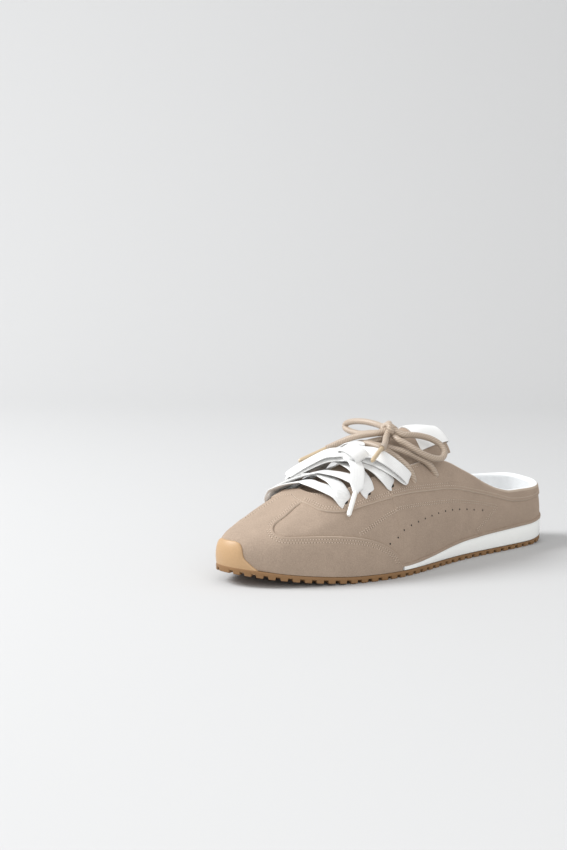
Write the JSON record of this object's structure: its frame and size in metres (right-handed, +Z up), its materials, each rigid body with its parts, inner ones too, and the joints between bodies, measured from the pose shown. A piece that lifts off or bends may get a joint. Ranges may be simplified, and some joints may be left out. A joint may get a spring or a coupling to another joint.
{
  "type": "sneaker mule",
  "caption": "Backless low lace-up trainer with a sawtooth gum outsole, wrapped toe bumper, folded tongue label and two laces tied in bows.",
  "frame": {"origin": "floor point under the middle of the shoe's footprint, free laces left out", "axes": "+Y from the toe to the heel, +X to the wearer's left, the little toe's side, +Z up from the floor"},
  "size_m": [0.0958, 0.2709, 0.095],
  "materials": {
    "outsole": "matte gum rubber",
    "midsole": "satin foam",
    "insole": "textile",
    "upper": "suede nap",
    "tongue": "suede nap",
    "tongue_label": "satin woven",
    "flat_lace_bars": "flat woven cotton",
    "flat_lace_knot": "flat woven cotton",
    "flat_lace_bow_side": "flat woven cotton",
    "flat_lace_bow_toe": "flat woven cotton",
    "flat_lace_end_side": "flat woven cotton",
    "flat_lace_end_side_tip": "clear film tip",
    "flat_lace_end_inner": "flat woven cotton",
    "flat_lace_end_inner_tip": "clear film tip",
    "round_lace_bars": "satin braid",
    "round_lace_knot": "satin braid",
    "round_lace_loop_heel": "satin braid",
    "round_lace_loop_inner": "satin braid",
    "round_lace_end_front": "satin braid",
    "round_lace_end_front_tip": "glossy film tip",
    "round_lace_end_inner": "satin braid",
    "round_lace_end_inner_tip": "glossy film tip"
  },
  "bodies": {
    "root": {"outsole": "outsole", "midsole": "midsole", "insole": "insole", "upper": "upper", "tongue": "tongue", "tongue_label": "tongue_label", "flat_lace_bars": "flat_lace_bars", "flat_lace_knot": "flat_lace_knot", "flat_lace_bow_side": "flat_lace_bow_side", "flat_lace_bow_toe": "flat_lace_bow_toe", "flat_lace_end_side": "flat_lace_end_side", "flat_lace_end_side_tip": "flat_lace_end_side_tip", "flat_lace_end_inner": "flat_lace_end_inner", "flat_lace_end_inner_tip": "flat_lace_end_inner_tip", "round_lace_bars": "round_lace_bars", "round_lace_knot": "round_lace_knot", "round_lace_loop_heel": "round_lace_loop_heel", "round_lace_loop_inner": "round_lace_loop_inner", "round_lace_end_front": "round_lace_end_front", "round_lace_end_front_tip": "round_lace_end_front_tip", "round_lace_end_inner": "round_lace_end_inner", "round_lace_end_inner_tip": "round_lace_end_inner_tip"}
  },
  "joints": []
}
